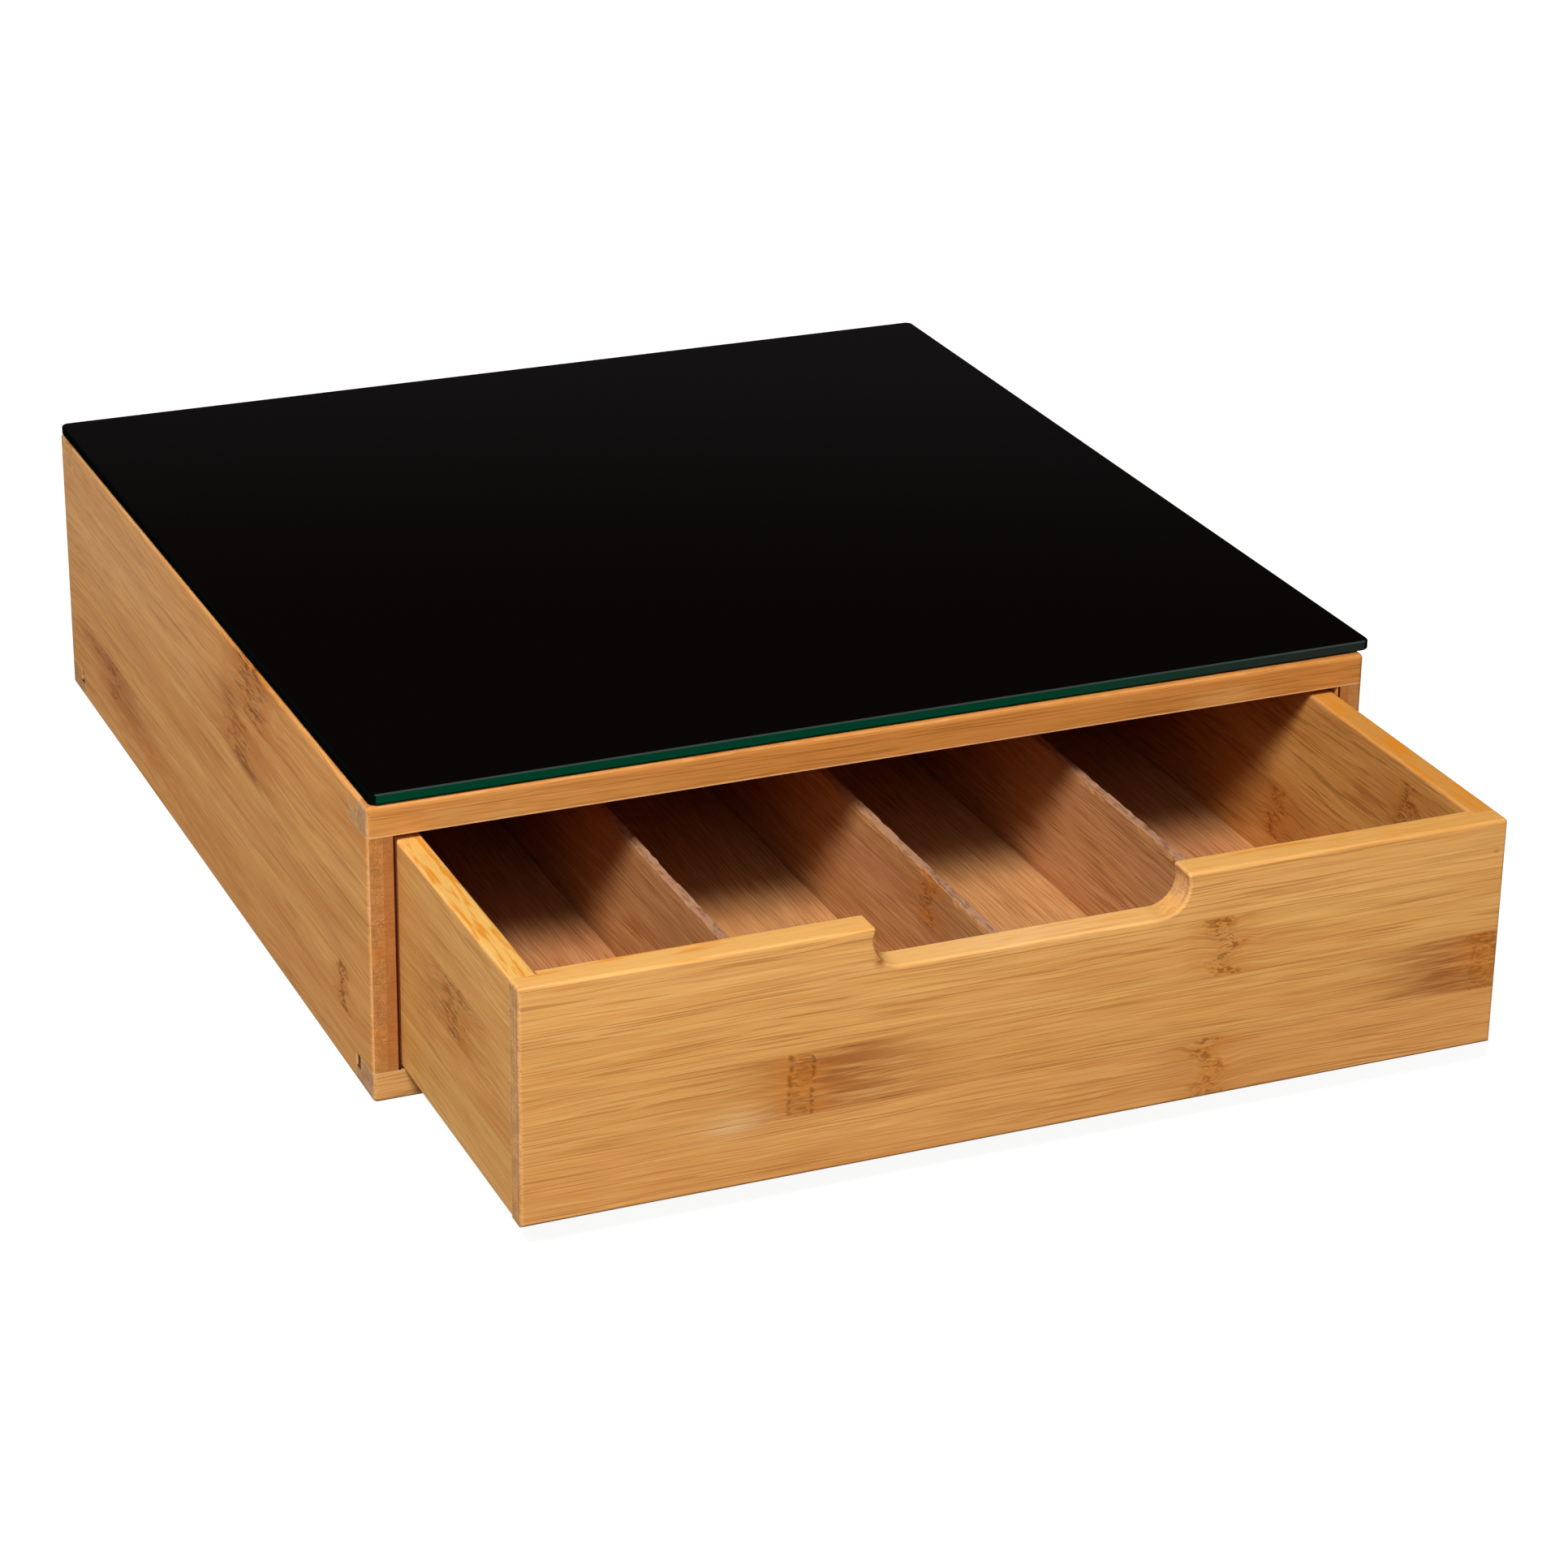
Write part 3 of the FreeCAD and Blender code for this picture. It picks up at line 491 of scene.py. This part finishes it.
RIGHT_SIDE_KNUCKLES = [knuckle(64, 70, reach=24, spread=2.0),
                       knuckle(-88, 35, reach=26, smoke=0.6, spread=1.8),
                       knuckle(20, 10, reach=22, sway=16, spread=1.5)]
RIGHT_SIDE_BLEMISHES = [(72, 62, 26, 9, SIDE_STAIN, 0.5), (-76, 30, 34, 8, SIDE_STAIN, 0.5),
                        (-20, 10, 150, 14, SIDE_STAIN, 0.4)]
# Painted light on the sides' front ends: a painted shade line at the gap beside the drawer, a painted
# shade band over the inner half next to it, and a painted highlight along the outer arris.
SIDE_SHADE_AND_HIGHLIGHT = ((142, 142.8, GAP_SHADE, 1.0), (142.8, 145.6, GAP_SIDE_SHADE, 0.5), (149.4, 150.5, LIT_ARRIS, 0.7))
for side, way, knuckles, blemishes, seed in (
        ("left", -1, LEFT_SIDE_KNUCKLES, LEFT_SIDE_BLEMISHES, 5.0),
        ("right", 1, RIGHT_SIDE_KNUCKLES, RIGHT_SIDE_BLEMISHES, 8.0)):
    name = f"case_{side}_side"
    plies = [(*sorted((way * near, way * far)), over, amount) for near, far, over, amount in SIDE_SHADE_AND_HIGHLIGHT]
    finish(name, bamboo(name, "yzx", SIDE_STRIP, SIDE_SEAM, seed, pale=SIDE_PALE, deep=SIDE_DEEP,
                        contrast=0.45, tone=0.6, length=1.7, wave=8, wisps=0.3, stains=0.5,
                        dashes=0.1, stain=SIDE_STAIN, end=SIDE_END, knuckles=knuckles, knot=1.25,
                        blemishes=blemishes, joint=SIDE_NOTCH, plies=plies, sheen=0.02))

# Case rails
# Bars of vertically laminated bamboo right across the case, let through the side panels, so
# that their ends show outside. The grain is darker and closer than in the panels.
RAIL_PALE = seen(206, 141, 75)
RAIL_DEEP = seen(182, 114, 50)
LOW_RAIL_PALE = seen(224, 174, 110)
LOW_RAIL_DEEP = seen(194, 138, 80)
RAIL_END = seen(208, 164, 124)
REAR_RAIL_END = seen(204, 150, 98)
TOP_REAR_RAIL_END = seen(244, 190, 126)
RAIL_ENDS = {"bottom_rear_rail": REAR_RAIL_END, "top_rear_rail": TOP_REAR_RAIL_END}
RAIL_STRIP = 4.6
SEAM_UNDER_RAIL = 4.1
# Painted shade: the bottom rails' upward faces, in the rebates under the drawer, are darkened.
REBATE_SHADE = seen(116, 90, 62)
PALE_SPOTS_UP = 2.9
for name, seed in (("bottom_front_rail", 20.0), ("bottom_rear_rail", 21.0), ("top_front_rail", 22.0),
                   ("top_rear_rail", 23.0)):
    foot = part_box(name)[0].z / MILLIMETRE
    upper = name.startswith("top")
    blemishes = [(105, foot + PALE_SPOTS_UP, 9, 2, PALE_CANE, 0.5),
                 (-120, foot + PALE_SPOTS_UP, 50, 5, PALE_CANE, 0.3)]
    finish(name, bamboo(name, "xzy", RAIL_STRIP, foot - SEAM_UNDER_RAIL, seed,
                        pale=RAIL_PALE if upper else LOW_RAIL_PALE,
                        deep=RAIL_DEEP if upper else LOW_RAIL_DEEP, contrast=0.4,
                        end=RAIL_ENDS.get(name, RAIL_END),
                        blemishes=blemishes if name == "top_front_rail" else (),
                        faces=() if upper else [("z", 1, REBATE_SHADE)], edge=0.4))

# Case thin panels and back
# The panels under the drawer and under the glass are thin bamboo board, and the back is a board
# like the sides. They are lacquered once, so they look a little drier.
PANEL_SEAM = 6.0
PANEL_KNUCKLES = [knuckle(-70, 41, reach=24), knuckle(66, 59, reach=24, sway=14)]
for name, order, seed in (("case_bottom_panel", "yxz", 31.0), ("case_top_panel", "yxz", 32.0),
                          ("case_back_panel", "xzy", 33.0)):
    finish(name, bamboo(name, order, SIDE_STRIP, PANEL_SEAM, seed, knuckles=PANEL_KNUCKLES,
                        roughness=0.58))

# Glass top
# A plate of float glass, enamelled black underneath, so that only its ground edge shows green.
# The front edge's bright green is a painted glow that fades to grey towards the right as painted
# light, the other edges are painted in shade, and the pale line on the thin arris above the front
# edge is a painted highlight.
GLASS_BLACK = seen(8, 4, 4)
GLASS_GREEN_GLOW = seen(2, 62, 40)
GLASS_SHADE = seen(6, 10, 8)
GLASS_GREY = seen(36, 42, 40)
GLASS_ARRIS_HIGHLIGHT = seen(48, 58, 54)
GREEN_GLOW_FADES = (30, 140)
glass, tree, shader = new_material("black_glass")
sideways, forward, upward = object_facing(tree)
rim = rise(tree, maths(tree, "ABSOLUTE", upward), 0.8, 0.95, 1, 0)
straight = rise(tree, maths(tree, "ABSOLUTE", sideways), 0.15, 0.3, 1, 0)
front = times(tree, rise(tree, forward, -0.6, -0.2, 1, 0), straight)
# Painted highlight: the arris above the front edge is painted pale.
arris = times(tree, front, rise(tree, upward, 0.2, 0.5))
rightward = node(tree, "SeparateXYZ", {0: object_place(tree)}).outputs[0]
# Painted glow: the front edge's green is bright at the left and fades to grey towards the right.
green = tint(tree, rise(tree, rightward, *GREEN_GLOW_FADES), GLASS_GREEN_GLOW, GLASS_GREY)
# The other edges are painted in shade.
edge_color = tint(tree, front, GLASS_SHADE, green)
edge_color = tint(tree, arris, edge_color, GLASS_ARRIS_HIGHLIGHT)
tree.links.new(tint(tree, rim, GLASS_BLACK, edge_color), shader.inputs["Base Color"])
tree.links.new(rise(tree, rim, 0, 1, 1.0, 0.0), shader.inputs["Coat Weight"])
shader.inputs["Coat Roughness"].default_value = 0.03
shader.inputs["Roughness"].default_value = 0.4
shader.inputs["Specular IOR Level"].default_value = 0.0
finish("glass_top", glass)

# Drawer front
# A board of four strips, thicker than the drawer sides, with the finger slot routed into its
# upper edge. Its ends are rebated over the sides.
DRAWER_STRIP = 17.5
DRAWER_SEAM = 9.7
FRONT_KNUCKLES = [knuckle(-65, 35.5, reach=24, sway=1.5, lean=8, rows=1.0, breadth=18.5, smoke=1.5),
                  knuckle(56, 53.5, reach=12, sway=14, smoke=0.5),
                  knuckle(137, 35, sway=6, lean=-8, rows=0.5, smoke=1.6),
                  knuckle(53, 18.5, reach=14, sway=14, smoke=0.6)]
SCRAPE = seen(230, 188, 134)
# Painted shade: the front is darkened along its lower part, as the light from above leaves it.
FRONT_LOW_SHADE = seen(190, 126, 64)
LIP_LINE = seen(120, 54, 20)
FRONT_PLIES = [(-252.6, -252.1, LIP_LINE, 0.3), (-250.5, -250.1, LIP_LINE, 0.2),
               (-248.6, -248.2, LIP_LINE, 0.2)]
TOP_SHADE = seen(208, 144, 66)
# Painted light: the floor of the finger slot is painted paler.
SLOT_FLOOR_LIGHT = seen(240, 192, 136)
FRONT_BLEMISHES = [(-40, 12, 260, 22, FRONT_LOW_SHADE, 0.3), (-84, 27.6, 9, 3.5, SCRAPE, 0.6),
                   (125, 76.5, 60, 3, TOP_SHADE, 0.6), (0, 65.2, 34, 1.2, SLOT_FLOOR_LIGHT, 0.6),
                   (39, 67.5, 3, 3.5, BROWN_FIBRE, 0.6),
                   (138.5, 67.7, 0.9, 0.7, BROWN_FIBRE, 0.8),
                   (-43.5, 67, 1.6, 1.6, BROWN_FIBRE, 0.9)]
finish("drawer_front", bamboo("drawer_front", "xzy", DRAWER_STRIP, DRAWER_SEAM, seed=52.0,
                              length=1.5, knuckles=FRONT_KNUCKLES, gold=0.75, amber=0.6,
                              blemishes=FRONT_BLEMISHES, edge=0.12, plies=FRONT_PLIES))

# Drawer sides and back
# Thinner boards of the same bamboo, behind the lips of the front. Outside they are lacquered, and
# inside they aren't. The saw and the sander have left amber flecks on their upper edges.
INSIDE = seen(226, 212, 200)
AMBER_TOP = seen(206, 140, 62)
YELLOW_TOP = seen(229, 177, 94)
LEFT_DRAWER_KNUCKLES = [knuckle(-203, 47, reach=24, smoke=0.8, spread=2.6)]
RIGHT_DRAWER_KNUCKLES = [knuckle(-213, 63, smoke=0.6), knuckle(-143, 33, sway=14, smoke=0.6)]
for name, order, seed, inner, knuckles, wisps, top in (
        ("drawer_left_side", "yzx", 14.0, ("x", 1, INSIDE), LEFT_DRAWER_KNUCKLES, 0.1, YELLOW_TOP),
        ("drawer_right_side", "yzx", 53.0, ("x", -1, INSIDE), RIGHT_DRAWER_KNUCKLES, 0.45, AMBER_TOP),
        ("drawer_back", "xzy", 54.0, ("y", -1, INSIDE), [knuckle(40, 53)], 0.2, GOLD_EDGE)):
    finish(name, bamboo(name, order, DRAWER_STRIP, DRAWER_SEAM, seed, wave=5, wisps=wisps,
                        stains=0.25, dashes=0.3, knuckles=knuckles, knot=0.9, gold=0.9, top=top,
                        patch=(16, 1.5, 1.5), amber=0.52, faces=[inner], sheen=0.02))

# Drawer bottom
# A thin panel of wide sawn strips without lacquer, in grooves round the drawer: dull, some strips
# pinkish and some sallow.
RAW_PALE = seen(207, 156, 109)
RAW_DEEP = seen(161, 107, 70)
RAW_ROSY = seen(255, 242, 234)
RAW_SALLOW = seen(255, 252, 230)
BOTTOM_STRIP = 62.0
BOTTOM_SEAM = -58.0
RAW = {"pale": RAW_PALE, "deep": RAW_DEEP, "rosy": RAW_ROSY, "sallow": RAW_SALLOW, "contrast": 0.6,
       "wave": 4, "wisps": 0.12, "dashes": 0.55, "roughness": 0.7}
finish("drawer_bottom", bamboo("drawer_bottom", "yxz", BOTTOM_STRIP, BOTTOM_SEAM, seed=40.0,
                               edge=0.1, **RAW))

# Dividers
# Strips of the same raw bamboo on edge, glued into grooves of the drawer's front and back. The
# saw has left their upper edges torn, greyish and a little fuzzy.
TORN_EDGE = seen(170, 128, 100)
TORN_FIBRE = seen(124, 88, 70)
DIVIDER_STRIP = 16.0
DIVIDER_SEAM = 3.0
MIDDLE_KNUCKLES = [knuckle(-192, 50, smoke=0.6)]
DIVIDER_STEPS = 600
STEPS_PER_TEAR = 6
CORNER_STEPS = 5
DIVIDER_ROUND = 0.4 * MILLIMETRE
TORN_DEPTH = 1.8 * MILLIMETRE
TEAR = 0.4 * MILLIMETRE


def sawn_strip(name, seed):
    """A strip on edge, with torn upper arrises, in place of the CAD node called name.

    Its section is a rectangle with rounded corners: each corner's centre plus the radius times
    (cos, sin), with the angle running on from corner to corner. A point on each side, TORN_DEPTH
    under the top, keeps the faces flat below it. The section is carried from the strip's back end
    to its front end, and each upper corner is drawn in, sideways and down, by TEAR times the cube
    of chance, which changes every few steps. Cubed, most tears are slight.
    """
    low, high = (np.array(corner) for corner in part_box(name))
    centre, half = (low + high) / 2, (high - low) / 2
    turn = np.arange(4)[:, None] * math.pi / 2 + np.linspace(0, math.pi / 2, CORNER_STEPS)
    right = np.array([1, -1, -1, 1])[:, None] * (half[0] - DIVIDER_ROUND)
    up = np.array([1, 1, -1, -1])[:, None] * (half[2] - DIVIDER_ROUND)
    across = np.ravel(right + DIVIDER_ROUND * np.cos(turn))
    height = np.ravel(up + DIVIDER_ROUND * np.sin(turn))
    shoulders = [2 * CORNER_STEPS, 4 * CORNER_STEPS]
    across = np.insert(across, shoulders, [-half[0], half[0]])
    height = np.insert(height, shoulders, half[2] - TORN_DEPTH)
    tears = np.random.default_rng(seed).random((2, DIVIDER_STEPS // STEPS_PER_TEAR, 2))
    torn = TEAR * np.repeat(tears, STEPS_PER_TEAR, axis=1) ** 3
    torn = (np.roll(torn, 1, axis=1) + torn + np.roll(torn, -1, axis=1)) / 3
    torn = torn[:, :, (across > 0).astype(int)] * (height > half[2] - 2 * DIVIDER_ROUND)
    points = np.empty((DIVIDER_STEPS, across.size, 3))
    points[:, :, 0] = centre[0] + across - np.sign(across) * torn[0]
    points[:, :, 1] = np.linspace(high[1], low[1], DIVIDER_STEPS)[:, None]
    points[:, :, 2] = centre[2] + height - torn[1]
    number = np.arange(points[:, :, 0].size).reshape(DIVIDER_STEPS, across.size)
    beside = np.roll(number, -1, axis=1)
    walls = np.stack([number[:-1], beside[:-1], beside[1:], number[1:]], axis=-1).reshape(-1, 4)
    ends = [number[0, ::-1].tolist(), number[-1].tolist()]
    mesh = bpy.data.meshes.new("sawn_" + name)
    mesh.from_pydata(points.reshape(-1, 3).tolist(), [], walls.tolist() + ends)
    strip = bpy.data.objects.new("sawn_" + name, mesh)
    bpy.context.scene.collection.objects.link(strip)
    return strip


for name, seed, knuckles in (("divider_left", 5, ()), ("divider_middle", 77, MIDDLE_KNUCKLES),
                             ("divider_right", 76, ())):
    divider = sawn_strip(name, seed)
    divider.data.materials.append(bamboo(name, "yzx", DIVIDER_STRIP, DIVIDER_SEAM, seed,
                                         knuckles=knuckles, gold=0.85, top=TORN_EDGE,
                                         fleck=TORN_FIBRE, patch=(5, 0.9, 0.9), amber=0.54,
                                         edge=0.0, **RAW))
    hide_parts(name)
    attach(divider, "drawer")

# Glue pads
# Clear soft acrylic pads, stuck to the top rails and the side panels before the glass is laid on.
# They are milky, with a few small bubbles.
PAD_MILK = seen(214, 216, 210)
PAD_BUBBLE = seen(186, 188, 182)
BUBBLE_SIZE = (0.8, 0.8, 0.8)
clear, tree, shader = new_material("clear_glue")
bubble = rise(tree, speckle(tree, object_place(tree), BUBBLE_SIZE, detail=1.0), 0.6, 0.68)
tree.links.new(tint(tree, bubble, PAD_MILK, PAD_BUBBLE), shader.inputs["Base Color"])
tree.links.new(rise(tree, bubble, 0, 1, 0.25, 0.5), shader.inputs["Roughness"])
finish("glass_glue_pads", clear)

# Brads
# Headless pins of bright steel wire, shot into the rails' ends and the drawer's back corners. The
# drawing of the wire has left fine lines along them.
STEEL_BRIGHT = seen(196, 196, 200)
STEEL_DULL = seen(140, 140, 146)
DRAWN_LINE = (0.15, 0.15, 6)
steel, tree, shader = new_material("brad_steel")
drawn = rise(tree, speckle(tree, object_place(tree), DRAWN_LINE, detail=2.0), 0.35, 0.65)
tree.links.new(tint(tree, drawn, STEEL_DULL, STEEL_BRIGHT), shader.inputs["Base Color"])
tree.links.new(rise(tree, drawn, 0, 1, 0.5, 0.3), shader.inputs["Roughness"])
shader.inputs["Metallic"].default_value = 1.0
for name in ("bottom_rail_brads", "top_rail_brads", "drawer_back_brads"):
    finish(name, steel)

# Floor
# A plain pale sheet under the box, out to the horizon. It shows near white, and keeps the box's
# shadow, but throws no more light back at the box than grey paper does.
FLOOR_REACH = 12.0
FLOOR_GREY = (0.18, 0.18, 0.18, 1.0)
FLOOR_GLOW = 0.93
floor_corners = [(x * FLOOR_REACH, y * FLOOR_REACH, 0.0)
                 for x, y in ((-1, -1), (1, -1), (1, 1), (-1, 1))]
floor_mesh = bpy.data.meshes.new("floor")
floor_mesh.from_pydata(floor_corners, [], [(0, 1, 2, 3)])
floor = bpy.data.objects.new("floor", floor_mesh)
bpy.context.scene.collection.objects.link(floor)
paper, tree, shader = new_material("pale_floor")
shader.inputs["Base Color"].default_value = FLOOR_GREY
shader.inputs["Roughness"].default_value = 0.9
shader.inputs["Specular IOR Level"].default_value = 0.0
path = node(tree, "LightPath").outputs
mirrored = maths(tree, "MAXIMUM", path["Is Glossy Ray"], path["Is Transmission Ray"])
shown = maths(tree, "MAXIMUM", path["Is Camera Ray"], mirrored)
tree.links.new(times(tree, shown, FLOOR_GLOW), shader.inputs["Emission Strength"])
shader.inputs["Emission Color"].default_value = (1, 1, 1, 1)
floor_mesh.materials.append(paper)

# Studio light
# A small strong lamp from the upper left front, a large weak one lower down, and low soft ones that
# open up the left, right and back faces. The studio is pale at the height of the table and dark
# above it, as black glass needs, and only the strong lamp may show in the glass.
TABLE_GLOW, TABLE_GLOW_FADES = 0.26, (0.1, 0.28)
WALL_GLOW, DARK_GLOW, WALL_GLOW_FADES = 0.03, 0.006, (0.3, 0.37)
world = bpy.data.worlds.new("studio")
bpy.context.scene.world = world
world.use_nodes = True
tree = world.node_tree
background = tree.nodes["Background"]
skyward = node(tree, "SeparateXYZ", {0: node(tree, "TexCoord").outputs["Generated"]}).outputs[2]
table_glow = rise(tree, skyward, *TABLE_GLOW_FADES, TABLE_GLOW, 0.0)
wall_glow = rise(tree, skyward, *WALL_GLOW_FADES, WALL_GLOW, DARK_GLOW)
tree.links.new(maths(tree, "ADD", table_glow, wall_glow), background.inputs["Strength"])
background.inputs["Color"].default_value = (1, 1, 1, 1)


def lamp(name, way, distance, breadth, height, watts, mirrored=False):
    """An area lamp that stands that way and distance from the box's middle and shines at it.

    mirrored says whether the glass may show it.
    """
    light = bpy.data.lights.new(name, "AREA")
    light.shape = "RECTANGLE"
    light.size, light.size_y = breadth, height
    light.energy = watts
    holder = bpy.data.objects.new(name, light)
    holder.location = BOX_MIDDLE + Vector(way).normalized() * distance
    holder.rotation_euler = (-Vector(way)).to_track_quat("-Z", "Y").to_euler()
    holder.visible_glossy = mirrored
    bpy.context.scene.collection.objects.link(holder)


BOX_MIDDLE = (Vector(cad_box[0]) + Vector(cad_box[1])) / 2
lamp("key_lamp", way=(-0.5, -0.78, 1.0), distance=2.4, breadth=0.6, height=0.6, watts=68,
     mirrored=True)
lamp("fill_lamp", way=(-0.35, -0.85, 0.62), distance=2.0, breadth=1.2, height=0.8, watts=5)
lamp("left_lamp", way=(-0.93, 0.3, 0.14), distance=1.2, breadth=0.5, height=0.3, watts=0.7)
lamp("right_lamp", way=(1.0, 0.2, 0.07), distance=1.5, breadth=0.8, height=0.2, watts=8)
lamp("back_lamp", way=(-0.15, 1.0, 0.07), distance=1.5, breadth=0.8, height=0.2, watts=9)

# Camera
# It looks down on the box from the left front, through a long lens on a frame 36 mm wide, and
# leans a little to one side. The angles are in degrees.
CAMERA_PLACE = (-0.4646, -1.1716, 0.5612)
CAMERA_TURN = 23.216
CAMERA_DIP = 23.806
CAMERA_ROLL = 0.819
LENS = 101.08
FRAME_WIDTH = 36.0
camera_data = bpy.data.cameras.new("camera")
camera_data.lens = LENS
camera_data.sensor_width = FRAME_WIDTH
camera_data.clip_start = 0.05
camera = bpy.data.objects.new("camera", camera_data)
camera.location = CAMERA_PLACE
upright = Euler((math.radians(90 - CAMERA_DIP), 0, math.radians(-CAMERA_TURN)), "XYZ").to_matrix()
rolled = Euler((0, 0, math.radians(CAMERA_ROLL)), "XYZ").to_matrix()
camera.rotation_euler = (upright @ rolled).to_euler()
bpy.context.scene.collection.objects.link(camera)
bpy.context.scene.camera = camera
bpy.context.scene.view_settings.view_transform = "Standard"
